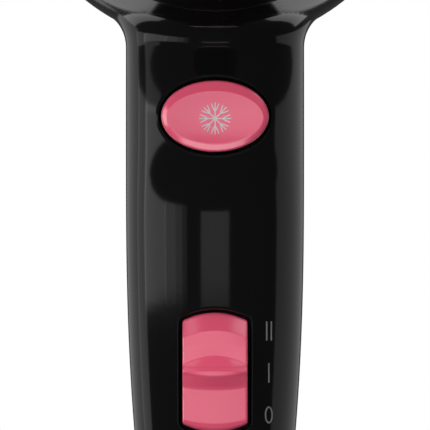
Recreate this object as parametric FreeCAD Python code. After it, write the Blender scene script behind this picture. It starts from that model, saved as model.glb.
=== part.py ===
"""Hand-held hair dryer: a barrel with its motor, fan and heater, and a handle with its two switches.

Frame: millimetres, +Z up. The origin is the middle of the air outlet's mouth, on the barrel's axis.
Air leaves along -Y, the air inlet is at +Y, and the handle hangs down along -Z.
"""

import FreeCAD
import Part

import math
import os

from FreeCAD import Vector

# ---- driving dimensions, mm -------------------------------------------------------------------------------
WALL = 2.2
FIT = 0.1

COLLAR_R = 27.5
SEAT_R = 27.2
COLLAR_LENGTH = 9.0
RING_END = 21.0
RING_R = 32.6
SEAM_FRONT = 62.0
SEAM_R = 37.7
PARTING = 92.0
BARREL_R = 44.4
SEAM_REAR = 146.0
REAR_R = 42.5
INLET_FACE = 168.0
INLET_R = 36.0

HANDLE_HALF_WIDTH = 19.0
HANDLE_FRONT = 70.5
HANDLE_REAR = 113.0
HANDLE_FOOT = -150.0
HANDLE_ROUNDNESS = 2.35
FLARE_R = 7.2
HUMP_Z = -60.0
HUMP_HALF_LENGTH = 21.0
HUMP_HEIGHT = 3.4
TAPER_START = -72.0

BUTTON_Z = -59.9
BUTTON_HALF_WIDTH = 11.45
BUTTON_HALF_HEIGHT = 7.6
BUTTON_FACE = 65.9
BUTTON_GAP = 0.35
SPRING_WIRE_R = 0.3

ROCKER_Z = -114.1
ROCKER_HALF_WIDTH = 6.95
ROCKER_HALF_LENGTH = 12.7
ROCKER_CORNER_DROP = 1.4
ROCKER_GAP = 0.8
ROCKER_PIVOT = 77.2
ROCKER_PIN_R = 1.0

LINER_R = 24.9
BORE_R = 25.1
HEATER_START = 9.0
HEATER_END = 65.0
COIL_R = 19.0
COIL_WIRE_R = 0.9
COIL_TURNS = 8
MICA = 0.6

MOTOR_R = 14.0
MOTOR_START = 84.0
MOTOR_END = 116.0
SHAFT_R = 1.0
RUNNING_GAP = 0.05
DUCT_R = 36.5
FAN_R = 33.8
FAN_START = 120.0
FAN_END = 136.0
FAN_BLADES = 7
FAN_HUB_R = 11.0
GUIDE_VANES = 6

BOARD_FRONT = 91.0
BOARD_BACK = 92.6
BOARD_HALF_WIDTH = 12.0
BOARD_TOP = -46.0
BOARD_FOOT = -128.0

UPPER_SCREW_Z = -79.0
LOWER_SCREW_Z = -133.5
LOWER_SCREW_X = 9.0
SCREW_R = 1.4
SCREW_HEAD_R = 2.8

INLET_BORE_R = 3.6
INLET_BORE_Y = 86.0
LOOP_Y = 101.5
LOOP_Z = -161.0
LOOP_HOLE_R = 4.5
LOOP_R = 8.0
LOOP_HALF_WIDTH = 2.8
CLAMP_X = 7.0
CLAMP_Z = -141.8
CLAMP_BACK = 92.4
CLAMP_SCREW_R = 0.9

X_AXIS = Vector(1, 0, 0)
Y_AXIS = Vector(0, 1, 0)
Z_AXIS = Vector(0, 0, 1)
ORIGIN = Vector(0, 0, 0)


# ---- small helpers ----------------------------------------------------------------------------------------
def block(x0, x1, y0, y1, z0, z1):
    """A box between two corners."""
    return Part.makeBox(x1 - x0, y1 - y0, z1 - z0, Vector(x0, y0, z0))


def rod(radius, start, end, x=0.0, z=0.0):
    """A cylinder along the barrel's axis, Y, from start to end."""
    return Part.makeCylinder(radius, end - start, Vector(x, start, z), Y_AXIS)


def tube(outer, inner, start, end, x=0.0, z=0.0):
    """A hollow cylinder along Y."""
    return rod(outer, start, end, x, z).cut(rod(inner, start - 1, end + 1, x, z))


def around_barrel(shape, count, first_deg=0.0):
    """Equally spaced copies of a shape about the barrel's axis."""
    copies = []
    for i in range(count):
        copy = shape.copy()
        copy.rotate(ORIGIN, Y_AXIS, first_deg + 360.0 * i / count)
        copies.append(copy)
    return copies


def fuse_all(shapes):
    """One shape fused from several."""
    return shapes[0].multiFuse(shapes[1:]) if len(shapes) > 1 else shapes[0]


def lathe(points):
    """A solid of revolution about Y. Each point is (y, radius), joined by straight lines."""
    corners = [Vector(0, y, r) for y, r in points]
    return Part.Face(Part.makePolygon(corners + corners[:1])).revolve(ORIGIN, Y_AXIS, 360)


def lathe_under_curve(points):
    """A solid of revolution about Y under one smooth curve through (y, radius) points."""
    curve = Part.BSplineCurve()
    curve.interpolate([Vector(0, y, r) for y, r in points])
    first, last = points[0][0], points[-1][0]
    below = [Vector(0, last, 0), Vector(0, first, 0)]
    corners = [Vector(0, last, points[-1][1])] + below + [Vector(0, first, points[0][1])]
    wire = Part.Wire([curve.toShape()] + [Part.makeLine(a, b) for a, b in zip(corners, corners[1:])])
    return Part.Face(wire).revolve(ORIGIN, Y_AXIS, 360)


def ellipse_prism(half_width, half_height, start, end, z):
    """An upright elliptical prism along Y, wider than high."""
    curve = Part.Ellipse(Vector(half_width, start, z), Vector(0, start, z + half_height), Vector(0, start, z))
    return Part.Face(Part.Wire(curve.toShape())).extrude(Vector(0, end - start, 0))


def bent_wire(points, radius):
    """A round wire along straight runs joined by tangent arcs."""
    p = [Vector(*q) for q in points]
    edges, at = [], p[0]
    for before, corner, after in zip(p, p[1:], p[2:]):
        back, on = before - corner, after - corner
        half_turn = (math.pi - back.getAngle(on)) / 2
        cut = 0.45 * min(back.Length, on.Length)
        back.normalize()
        on.normalize()
        start, end = corner + back * cut, corner + on * cut
        bisector = (back + on).normalize()
        arc_r = cut / math.tan(half_turn)
        middle = corner + bisector * (arc_r / math.cos(half_turn) - arc_r)
        edges += [Part.makeLine(at, start), Part.Arc(start, middle, end).toShape()]
        at = end
    edges.append(Part.makeLine(at, p[-1]))
    path = Part.Wire(edges)
    ring = Part.Wire(Part.Circle(p[0], p[1] - p[0], radius).toShape())
    return path.makePipeShell([ring], True, True)


# ---- outer skin -------------------------------------------------------------------------------------------
def handle_taper(z):
    """How far the handle has narrowed on each side at height z."""
    below = max(0.0, TAPER_START - z)
    return 0.3 * (below / 26.8) ** 2.5


def handle_front(z):
    """The handle's front line at height z, with the swelling that carries the button."""
    away = abs(z - HUMP_Z) / HUMP_HALF_LENGTH
    hump = HUMP_HEIGHT * math.cos(math.pi / 2 * away) ** 2 if away < 1 else 0.0
    return HANDLE_FRONT - hump + 0.9 * handle_taper(z)


def handle_rear(z):
    return HANDLE_REAR - 1.3 * handle_taper(z)


def handle_section(z, inset=0.0, points=28):
    """The handle's outline at height z: a rounded oval, wider across than an ellipse."""
    half_width = HANDLE_HALF_WIDTH - handle_taper(z) - inset
    front, rear = handle_front(z) + inset, handle_rear(z) - inset
    middle, half_depth = (front + rear) / 2, (rear - front) / 2
    power = 2 / HANDLE_ROUNDNESS
    outline = []
    for i in range(points):
        c, s = math.cos(2 * math.pi * i / points), math.sin(2 * math.pi * i / points)
        x = half_width * math.copysign(abs(c) ** power, c)
        y = middle + half_depth * math.copysign(abs(s) ** power, s)
        outline.append(Vector(x, y, z))
    curve = Part.BSplineCurve()
    curve.interpolate(outline, PeriodicFlag=True)
    return Part.Wire(curve.toShape())


def handle_loft(heights, inset=0.0):
    return Part.makeLoft([handle_section(z, inset) for z in sorted(heights)], True, False)


HANDLE_HEIGHTS = [-20, -36, -42, -46, -50, -55, -60, -65, -70, -75, -81]
HANDLE_HEIGHTS += [-90, -100, -112, -124, -136, HANDLE_FOOT]
BARREL_CURVE = [
    (SEAM_FRONT, SEAM_R),
    (70, 40.6),
    (78, 43.0),
    (86, 44.2),
    (98, BARREL_R + 0.1),
    (115, BARREL_R),
    (132, 43.6),
    (SEAM_REAR, REAR_R),
]


def outer_skin():
    """Barrel and handle as one body, with the flare where they meet."""
    body = lathe_under_curve(BARREL_CURVE).fuse(handle_loft(HANDLE_HEIGHTS))
    meeting = [e for e in body.Edges if -50 < e.BoundBox.ZMin and e.BoundBox.ZMax < -30]
    return body.makeFillet(FLARE_R, meeting)


def inner_space():
    """The hollow inside the skin."""
    barrel = lathe_under_curve([(y, r - WALL) for y, r in BARREL_CURVE])
    return barrel.fuse(handle_loft(HANDLE_HEIGHTS, WALL))


def rocker_outline(grow=0.0):
    """The rocker's outline seen from the front: straight sides, and ends that bow outwards."""
    w = ROCKER_HALF_WIDTH + grow
    end = ROCKER_HALF_LENGTH + grow
    corner = end - ROCKER_CORNER_DROP
    top = Part.Arc(Vector(-w, 0, corner), Vector(0, 0, end), Vector(w, 0, corner)).toShape()
    foot = Part.Arc(Vector(w, 0, -corner), Vector(0, 0, -end), Vector(-w, 0, -corner)).toShape()
    right = Part.makeLine(Vector(w, 0, corner), Vector(w, 0, -corner))
    left = Part.makeLine(Vector(-w, 0, -corner), Vector(-w, 0, corner))
    return Part.Face(Part.Wire([top, right, foot, left]))


def rocker_prism(grow, start, end):
    prism = rocker_outline(grow).extrude(Vector(0, end - start, 0))
    prism.translate(Vector(0, start, ROCKER_Z))
    return prism


def screw_places():
    """(x, z) of the three screws that hold the two shells together."""
    return [(0.0, UPPER_SCREW_Z), (LOWER_SCREW_X, LOWER_SCREW_Z), (-LOWER_SCREW_X, LOWER_SCREW_Z)]


def front_shell(skin, space):
    """Front half of the housing: button and rocker openings, screw bosses, and ledges for the board."""
    half = block(-60, 60, SEAM_FRONT, PARTING, -200, 60)
    shell = skin.common(half).cut(space)
    bosses = [rod(3.4, 60, PARTING - FIT, x, z) for x, z in screw_places()]
    ledges = [block(x, x + 8, 88, BOARD_FRONT, z - 1, z + 1) for x in (-19, 11) for z in (-52, -98, -124)]
    shell = shell.fuse(fuse_all(bosses + ledges).common(skin))
    shell = shell.cut(fuse_all([rod(SCREW_R, 76, PARTING + 1, x, z) for x, z in screw_places()]))
    oval = ellipse_prism(BUTTON_HALF_WIDTH + BUTTON_GAP, BUTTON_HALF_HEIGHT + BUTTON_GAP, 55, 80, BUTTON_Z)
    return shell.cut(oval).cut(rocker_prism(ROCKER_GAP, 55, 76))


def rear_shell(skin, space):
    """Rear half of the housing, with counterbored bosses for the screws."""
    half = block(-60, 60, PARTING, SEAM_REAR, -200, 60)
    shell = skin.common(half).cut(space)
    bosses = [rod(4.2, PARTING, 120, x, z) for x, z in screw_places()]
    shell = shell.fuse(fuse_all(bosses).common(skin).common(half))
    shanks = [rod(SCREW_R + 0.3, PARTING - 1, 120, x, z) for x, z in screw_places()]
    heads = [rod(SCREW_HEAD_R + 0.3, 101, 120, x, z) for x, z in screw_places()]
    return shell.cut(fuse_all(shanks + heads))


# ---- barrel pieces ----------------------------------------------------------------------------------------
FRONT_CURVE = [(RING_END, RING_R - 0.2), (32, 32.9), (44, 34.0), (54, 35.6), (SEAM_FRONT, SEAM_R)]


def front_barrel():
    """Outlet tube: the collar for attachments, the flared barrel, and the spigot inside the housing."""
    outside = lathe_under_curve(FRONT_CURVE)
    collar = rod(COLLAR_R, 0, COLLAR_LENGTH).fuse(rod(SEAT_R, COLLAR_LENGTH - 1, RING_END + 1))
    spigot = rod(SEAM_R - WALL, SEAM_FRONT - 1, SEAM_FRONT + 6)
    bore = rod(BORE_R, -1, RING_END + 4)
    rear = SEAM_FRONT + 7
    throat = [(RING_END + 2, 29.4), (44, 31.2), (SEAM_FRONT, 33.2), (rear, 33.4)]
    inside = lathe([(RING_END + 2, 0)] + throat + [(rear, 0)])
    return outside.fuse(collar).fuse(spigot).cut(bore).cut(inside)


def outlet_ring():
    """Coloured trim ring behind the collar."""
    profile = [
        (COLLAR_LENGTH, SEAT_R),
        (COLLAR_LENGTH, RING_R - 2.2),
        (COLLAR_LENGTH + 0.7, RING_R - 1.0),
        (COLLAR_LENGTH + 2.2, RING_R - 0.3),
        (COLLAR_LENGTH + 5.0, RING_R),
        (RING_END - 0.6, RING_R),
        (RING_END, RING_R - 0.5),
        (RING_END, SEAT_R),
    ]
    return lathe(profile)


def ring_grille(radii, width, start, end, spokes, spoke_width, inner_hub):
    """Concentric bars joined by spokes."""
    bars = [tube(r, r - width, start, end) for r in radii]
    hub = rod(inner_hub, start, end)
    half = spoke_width / 2
    spoke = block(-half, half, start + 0.2, end - 0.2, inner_hub - 0.5, radii[0] - width / 2)
    return fuse_all(bars + [hub] + around_barrel(spoke, spokes))


def outlet_grille():
    """Guard in the outlet's mouth, pressed into the collar."""
    return ring_grille([BORE_R, 19.5, 13.9, 8.3], 1.2, 3.0, 5.0, 6, 1.2, 3.0)


DOME_CURVE = [(152, 41.6), (158, 40.0), (163, 37.8), (INLET_FACE, 34.2)]


def rear_cap():
    """Domed inlet cap with its grille and the spigot that clips inside the rear shell."""
    dome_outside = lathe_under_curve([(SEAM_REAR + 0.3, REAR_R - 0.1)] + DOME_CURVE)
    beyond = INLET_FACE + 1
    hollow = [(SEAM_REAR - 1, 0), (SEAM_REAR - 1, 39.0), (157, 37.4), (beyond, 31.6), (beyond, 0)]
    dome_inside = lathe(hollow)
    spigot = tube(REAR_R - WALL - 0.4, 38.2, SEAM_REAR - 5, SEAM_REAR + 3)
    bars = [33.0, 27.6, 22.2, 16.8, 11.4]
    grille = ring_grille(bars, 1.6, INLET_FACE - 3, INLET_FACE - 0.6, 8, 1.6, 6.0)
    return dome_outside.cut(dome_inside).fuse(spigot).fuse(grille)


def filter_screen():
    """Fine screen behind the inlet grille."""
    return rod(35.5, 154.0, 154.5).fuse(tube(37.6, 35.0, 153.4, 155.4))


# ---- heater -----------------------------------------------------------------------------------------------
def coil_places():
    pitch = (HEATER_END - HEATER_START - 12.0) / (COIL_TURNS - 1)
    return [HEATER_START + 6.0 + pitch * i for i in range(COIL_TURNS)]


def heating_coil():
    """Turns of resistance wire held in the notches of the mica boards."""
    rings = [Part.makeTorus(COIL_R, COIL_WIRE_R, Vector(0, y, 0), Y_AXIS) for y in coil_places()]
    return Part.makeCompound(rings)


def mica_boards():
    """Two boards that slot into each other crosswise, notched for the wire."""
    notches = [Part.makeTorus(COIL_R, COIL_WIRE_R + 0.15, Vector(0, y, 0), Y_AXIS) for y in coil_places()]
    middle = (HEATER_START + HEATER_END) / 2
    reach = LINER_R - 0.45
    slot = MICA / 2 + 0.05
    upright = block(-MICA / 2, MICA / 2, HEATER_START, HEATER_END, -reach, reach)
    upright = upright.cut(block(-1, 1, HEATER_START - 1, middle, -slot, slot)).cut(fuse_all(notches))
    level = block(-reach, reach, HEATER_START, HEATER_END, -MICA / 2, MICA / 2)
    level = level.cut(block(-slot, slot, middle, HEATER_END + 1, -1, 1)).cut(fuse_all(notches))
    return upright, level


def mica_liner():
    """Heat shield rolled round the element."""
    return tube(LINER_R, LINER_R - 0.4, 7.0, HEATER_END + 2)


def thermostat():
    """Bimetal cut-out on the level board: base, contact arm and stud."""
    base = block(6, 15, 57.5, 63.5, MICA / 2, MICA / 2 + 1.6)
    post = block(6.5, 8.5, 59, 62, MICA / 2 + 1.6, MICA / 2 + 3.4)
    arm = block(6.5, 14.5, 59.4, 61.6, MICA / 2 + 3.4, MICA / 2 + 3.8)
    stud = Part.makeCylinder(0.8, 1.8, Vector(13.3, 60.5, MICA / 2 + 1.6), Z_AXIS)
    return fuse_all([base, post, arm, stud])


def thermal_fuse():
    """One-shot fuse with its leads, on the level board."""
    z = MICA / 2 + 1.5
    return fuse_all([rod(1.5, 53, 63, -11, z), rod(0.4, 50, 64.5, -11, z)])


# ---- motor and fan ----------------------------------------------------------------------------------------
def motor_mount():
    """Fan duct: outer ring, guide vanes and the tube that grips the motor."""
    ring = tube(DUCT_R, DUCT_R - 1.8, 93.0, 139.0)
    flange = tube(42.15, DUCT_R - 0.5, 94.0, 96.0)
    hub = tube(MOTOR_R + 1.7, MOTOR_R, 88.0, 114.0)
    vane = block(-0.8, 0.8, 97.0, 113.0, MOTOR_R + 1.0, DUCT_R - 1.0)
    return fuse_all([ring, flange, hub] + around_barrel(vane, GUIDE_VANES, 30.0))


def motor_can():
    """Drawn steel can with its bearing seat in the closed end."""
    can = tube(MOTOR_R, MOTOR_R - 1.0, MOTOR_START, MOTOR_END)
    lid = tube(MOTOR_R - 0.5, 3.0, MOTOR_END - 1.0, MOTOR_END)
    nose = tube(4.2, 3.0, MOTOR_END - 1.0, MOTOR_END + 1.5)
    return fuse_all([can, lid, nose])


def motor_magnets():
    """Two curved magnets inside the can."""
    ring = tube(MOTOR_R - 1.05, MOTOR_R - 3.2, 92.0, 112.0)
    return ring.cut(block(-5, 5, 80, 120, -20, 20))


def motor_end_bell():
    """Plastic end cap that holds the front bearing and the terminals."""
    bell = tube(MOTOR_R - 1.05, 3.0, MOTOR_START, MOTOR_START + 3.0)
    tags = [block(x - 1.5, x + 1.5, 80.5, MOTOR_START + 0.5, -0.4, 0.4) for x in (-8.5, 8.5)]
    return fuse_all([bell] + tags)


def bearing(start):
    return tube(3.0, SHAFT_R + RUNNING_GAP, start, start + 2.5)


def motor_shaft():
    return rod(SHAFT_R, MOTOR_START - 0.2, 133.0)


def armature():
    """Laminated core with its windings between the poles."""
    core = tube(9.6, SHAFT_R, 94.0, 110.0)
    slot = block(-1.0, 1.0, 93.0, 111.0, 4.5, 12.0)
    core = core.cut(fuse_all(around_barrel(slot, 5)))
    winding = tube(7.6, SHAFT_R, 91.5, 94.0).fuse(tube(7.6, SHAFT_R, 110.0, 112.5))
    return core.fuse(winding)


def commutator():
    body = tube(2.9, SHAFT_R, 87.4, 91.2)
    gap = block(-0.15, 0.15, 87.0, 91.5, 2.3, 4.0)
    return body.cut(fuse_all(around_barrel(gap, 5)))


def brushes():
    """Carbon brushes either side of the commutator."""
    right = block(3.0, 7.0, 88.2, 90.4, -1.1, 1.1)
    left = block(-7.0, -3.0, 88.2, 90.4, -1.1, 1.1)
    return Part.makeCompound([right, left])


def fan_blade():
    """One twisted blade from the hub to its tip."""
    sections = []
    stations = ((FAN_HUB_R - 0.8, 12.5, 48.0), (22.0, 14.5, 36.0), (FAN_R + 0.8, 15.5, 28.0))
    for radius, chord, pitch in stations:
        along, across = chord / 2, 0.6
        c, s = math.cos(math.radians(pitch)), math.sin(math.radians(pitch))
        corners = [(-along, -across), (along, -across), (along, across), (-along, across)]
        middle = (FAN_START + FAN_END) / 2 - 0.5
        at = [Vector(u * c - v * s, middle + u * s + v * c, radius) for u, v in corners]
        sections.append(Part.makePolygon(at + at[:1]))
    return Part.makeLoft(sections, True, False).common(rod(FAN_R, FAN_START - 4, FAN_END + 4))


def fan_impeller():
    """Axial fan pressed on the motor's shaft."""
    profile = [
        (FAN_START, SHAFT_R),
        (FAN_START, FAN_HUB_R),
        (FAN_END - 4, FAN_HUB_R),
        (FAN_END - 1, 8.5),
        (FAN_END, 5.0),
        (FAN_END, SHAFT_R),
    ]
    hub = lathe(profile)
    return fuse_all([hub] + around_barrel(fan_blade(), FAN_BLADES))


def rectifier_board():
    """Round board on the motor's tags, drilled for them."""
    board = rod(12.5, 79.6, 80.8)
    tags = [block(x - 1.7, x + 1.7, 79, 82, -0.6, 0.6) for x in (-8.5, 8.5)]
    return board.cut(fuse_all(tags))


def rectifier_diodes():
    """Four diodes lying on the rectifier board."""
    return Part.makeCompound(
        [
            Part.makeCylinder(1.4, 5.2, Vector(x - 2.6, 78.1, z), X_AXIS)
            for x, z in ((-4.5, 6.0), (4.5, 6.0), (-4.5, -6.0), (4.5, -6.0))
        ]
    )


# ---- controls ---------------------------------------------------------------------------------------------
def cool_button():
    """Oval cap with its retaining flange and stem."""
    cap = ellipse_prism(BUTTON_HALF_WIDTH, BUTTON_HALF_HEIGHT, BUTTON_FACE, 75.5, BUTTON_Z)
    front_rim = [e for e in cap.Edges if e.BoundBox.YMax < BUTTON_FACE + 0.1]
    cap = cap.makeFillet(1.1, front_rim)
    flange = ellipse_prism(12.3, 8.6, 75.2, 76.2, BUTTON_Z)
    stem = rod(2.0, 76.0, 80.2, z=BUTTON_Z)
    return fuse_all([cap, flange, stem])


def button_spring():
    """Return spring round the stem."""
    start, length, turns, steps, radius = 76.6, 3.9, 4, 12, 3.2
    points = []
    for i in range(turns * steps + 1):
        angle = 2 * math.pi * i / steps
        y = start + length * i / (turns * steps)
        points.append(Vector(radius * math.cos(angle), y, BUTTON_Z + radius * math.sin(angle)))
    path = Part.BSplineCurve()
    path.interpolate(points)
    ring = Part.Wire(Part.Circle(points[0], path.tangent(path.FirstParameter)[0], SPRING_WIRE_R).toShape())
    return Part.Wire(path.toShape()).makePipeShell([ring], True, True)


def microswitch():
    """Momentary switch behind the button, with a bore for its plunger and room for the button's stem."""
    body = block(-5, 5, 82.0, BOARD_FRONT, BUTTON_Z - 6.5, BUTTON_Z + 6.5)
    seat = block(-5, 5, 81.0, 82.0, BUTTON_Z - 5, BUTTON_Z + 5)
    stem_room = rod(2.4, 80, 82.6, z=BUTTON_Z)
    return body.fuse(seat).cut(stem_room).cut(rod(1.6, 80, 86.5, z=BUTTON_Z))


def microswitch_plunger():
    return rod(1.5, 80.2, 84.0, z=BUTTON_Z)


def rocker():
    """Three-position rocker: a thumb crest across its middle, scooped above and stepped below."""
    profile = [
        (12.7, 72.4),
        (11.6, 70.6),
        (9.0, 69.5),
        (6.0, 69.0),
        (3.0, 68.8),
        (1.2, 67.9),
        (0.4, 67.1),
        (-0.6, 67.2),
        (-1.6, 68.0),
        (-3.2, 69.2),
        (-4.6, 69.7),
        (-11.4, 70.6),
        (-12.7, 72.4),
        (-12.7, 74.4),
        (-6.0, 74.6),
        (-3.2, 80.0),
        (3.2, 80.0),
        (6.0, 74.6),
        (12.7, 74.4),
    ]
    corners = [Vector(-ROCKER_HALF_WIDTH - 1, y, ROCKER_Z + z) for z, y in profile]
    solid = Part.Face(Part.makePolygon(corners + corners[:1])).extrude(Vector(2 * ROCKER_HALF_WIDTH + 2, 0, 0))
    solid = solid.common(rocker_prism(0.0, 60, 90))
    pin = Part.makeCylinder(ROCKER_PIN_R + RUNNING_GAP, 20, Vector(-10, ROCKER_PIVOT, ROCKER_Z), X_AXIS)
    return solid.cut(pin)


def rocker_pin():
    return Part.makeCylinder(ROCKER_PIN_R, 17.4, Vector(-8.7, ROCKER_PIVOT, ROCKER_Z), X_AXIS)


def switch_body():
    """Switch block on the board, with the two ears that carry the rocker's pin."""
    base = block(-7.5, 7.5, 81.0, BOARD_FRONT, ROCKER_Z - 12.8, ROCKER_Z + 12.8)
    ears = [block(x, x + 1.3, 75.9, BOARD_FRONT - 1, ROCKER_Z - 4, ROCKER_Z + 4) for x in (-8.7, 7.4)]
    body = fuse_all([base] + ears)
    return body.cut(Part.makeCylinder(ROCKER_PIN_R, 30, Vector(-15, ROCKER_PIVOT, ROCKER_Z), X_AXIS))


def control_board():
    """Circuit board that carries both switches."""
    board = block(-BOARD_HALF_WIDTH, BOARD_HALF_WIDTH, BOARD_FRONT, BOARD_BACK, BOARD_FOOT, BOARD_TOP)
    return board.cut(rod(4.8, BOARD_FRONT - 1, BOARD_BACK + 1, z=UPPER_SCREW_Z))


def capacitor():
    """Suppression capacitor on the back of the board."""
    return block(-7, 7, BOARD_BACK, BOARD_BACK + 7, -102, -90)


def chokes():
    """Two chokes on the back of the board."""
    return Part.makeCompound(
        [Part.makeCylinder(2.6, 13, Vector(x, BOARD_BACK + 2.6, -120), Z_AXIS) for x in (-6.0, 6.0)]
    )


LEAD_R = 0.9


def lead_routes():
    """Where each internal lead runs, from the board's top to the heater or the motor."""
    at_board = BOARD_FRONT - LEAD_R
    to_motor = [(0, at_board, -52), (0, at_board, -40), (0, 84, -31), (0, 75.5, -24), (0, 75.5, -3)]
    routes = {"motor_lead": to_motor + [(0, 79.6, -3)]}
    for name, x in (("heater_lead_left", -1), ("heater_lead_right", 1)):
        climb = [(8 * x, at_board, -52), (8 * x, at_board, -38), (9 * x, 82, -28), (9 * x, 68, -21)]
        routes[name] = climb + [(9 * x, 66.5, -14), (9 * x, 65, -6)]
    return routes


# ---- foot -------------------------------------------------------------------------------------------------
def clamp_holes():
    """Holes of the two clamp screws, through the bar and into the posts."""
    return [rod(CLAMP_SCREW_R, 84, CLAMP_BACK + 4, x, CLAMP_Z) for x in (-CLAMP_X, CLAMP_X)]


def foot_cap():
    """End of the handle: closing plate, cord inlet, clamp posts and hanging loop."""
    outlines = [foot_outline(depth, inset) for depth, inset in ((0.1, 0.0), (4.0, 1.6), (6.5, 4.6))]
    plate = Part.makeLoft(outlines, True, False)
    neck = handle_loft([HANDLE_FOOT - 0.1, HANDLE_FOOT + 4], WALL + 0.4)
    posts = [block(x - 1.6, x + 1.6, 83, CLAMP_BACK, HANDLE_FOOT, CLAMP_Z + 3) for x in (-CLAMP_X, CLAMP_X)]
    loop = Part.makeCylinder(LOOP_R, 2 * LOOP_HALF_WIDTH, Vector(-LOOP_HALF_WIDTH, LOOP_Y, LOOP_Z), X_AXIS)
    rear = LOOP_Y + LOOP_R - 3.5
    web = block(-LOOP_HALF_WIDTH, LOOP_HALF_WIDTH, LOOP_Y - LOOP_R, rear, LOOP_Z, HANDLE_FOOT - 2)
    body = fuse_all([plate, neck, loop, web] + posts)
    hole = Part.makeCylinder(LOOP_HOLE_R, 20, Vector(-10, LOOP_Y, LOOP_Z), X_AXIS)
    bore = Part.makeCylinder(INLET_BORE_R + 1.9, 40, Vector(0, INLET_BORE_Y, HANDLE_FOOT - 20), Z_AXIS)
    return body.cut(fuse_all([hole, bore] + clamp_holes()))


def foot_outline(depth, inset):
    """The handle's last outline, drawn in and moved down."""
    section = handle_section(HANDLE_FOOT, inset)
    section.translate(Vector(0, 0, -depth))
    return section


def inlet_bush():
    """Flanged bush that lines the cord inlet."""
    axis = Vector(0, INLET_BORE_Y, HANDLE_FOOT - 8.0)
    body = Part.makeCylinder(INLET_BORE_R + 1.9, 12, axis, Z_AXIS)
    lip = Part.makeCylinder(INLET_BORE_R + 2.8, 1.5, axis, Z_AXIS)
    return body.fuse(lip).cut(Part.makeCylinder(INLET_BORE_R, 14, axis - Vector(0, 0, 1), Z_AXIS))


def cord_clamp():
    """Clamp bar across the two posts, grooved for the cord."""
    half = CLAMP_X + 1.8
    bar = block(-half, half, CLAMP_BACK, CLAMP_BACK + 3, CLAMP_Z - 3, CLAMP_Z + 3)
    groove = Part.makeCylinder(INLET_BORE_R, 8, Vector(0, CLAMP_BACK - 2.6, CLAMP_Z - 4), Z_AXIS)
    return bar.cut(fuse_all([groove] + clamp_holes()))


def pan_screw(radius, head_radius, tip, seat, x, z):
    """A screw along Y: shank from tip to seat, then a domed head with a cross recess."""
    dome = [(seat + 1.0, head_radius), (seat + 1.8, head_radius * 0.7), (seat + 2.0, 0)]
    head = lathe([(seat, 0), (seat, head_radius)] + dome)
    slot = block(-0.3, 0.3, seat + 1.0, seat + 3, -1.6, 1.6)
    cross = block(-1.6, 1.6, seat + 1.0, seat + 3, -0.3, 0.3)
    recess = [slot, cross]
    head = head.cut(fuse_all(recess))
    head.translate(Vector(x, 0, z))
    return head.fuse(rod(radius, tip, seat + 0.5, x, z))


def housing_screws():
    return Part.makeCompound([pan_screw(SCREW_R, SCREW_HEAD_R, 78, 101, x, z) for x, z in screw_places()])


def clamp_screws():
    screws = [pan_screw(CLAMP_SCREW_R, 1.8, 85, CLAMP_BACK + 3, x, CLAMP_Z) for x in (-CLAMP_X, CLAMP_X)]
    return Part.makeCompound(screws)


# ---- every node -------------------------------------------------------------------------------------------
def build():
    skin, space = outer_skin(), inner_space()
    upright, level = mica_boards()
    nodes = {
        "front_shell": front_shell(skin, space),
        "rear_shell": rear_shell(skin, space),
        "front_barrel": front_barrel(),
        "outlet_ring": outlet_ring(),
        "outlet_grille": outlet_grille(),
        "rear_cap": rear_cap(),
        "filter_screen": filter_screen(),
        "heating_coil": heating_coil(),
        "mica_board_upright": upright,
        "mica_board_level": level,
        "mica_liner": mica_liner(),
        "thermostat": thermostat(),
        "thermal_fuse": thermal_fuse(),
        "motor_mount": motor_mount(),
        "motor_can": motor_can(),
        "motor_magnets": motor_magnets(),
        "motor_end_bell": motor_end_bell(),
        "motor_bearing_front": bearing(MOTOR_START + 0.3),
        "motor_bearing_rear": bearing(MOTOR_END - 1.0),
        "motor_shaft": motor_shaft(),
        "armature": armature(),
        "commutator": commutator(),
        "brushes": brushes(),
        "fan_impeller": fan_impeller(),
        "rectifier_board": rectifier_board(),
        "rectifier_diodes": rectifier_diodes(),
        "cool_button": cool_button(),
        "button_spring": button_spring(),
        "microswitch": microswitch(),
        "microswitch_plunger": microswitch_plunger(),
        "rocker": rocker(),
        "rocker_pin": rocker_pin(),
        "switch_body": switch_body(),
        "control_board": control_board(),
        "capacitor": capacitor(),
        "chokes": chokes(),
        "foot_cap": foot_cap(),
        "inlet_bush": inlet_bush(),
        "cord_clamp": cord_clamp(),
        "clamp_screws": clamp_screws(),
        "housing_screws": housing_screws(),
    }
    for name, route in lead_routes().items():
        nodes[name] = bent_wire(route, LEAD_R)
    return nodes


os.makedirs("parts", exist_ok=True)
for name, shape in build().items():
    print(f"{name}: {len(shape.Solids)} solid(s), {shape.Volume:.1f} mm3, valid {shape.isValid()}")
    shape.exportStep(f"parts/{name}.step")
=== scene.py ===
"""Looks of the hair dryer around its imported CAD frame. Metres, +Z up, the row's own frame.

The glossy outer pieces are built here as fine meshes whose normals come straight from the shape's formula,
so that long soft reflections stay clean. Inner pieces are the CAD's own meshes with softened edges and
procedural finishes.
"""

import math

import bmesh
import bpy
import numpy as np
from mathutils import Matrix, Vector
from mathutils.geometry import delaunay_2d_cdt


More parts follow.
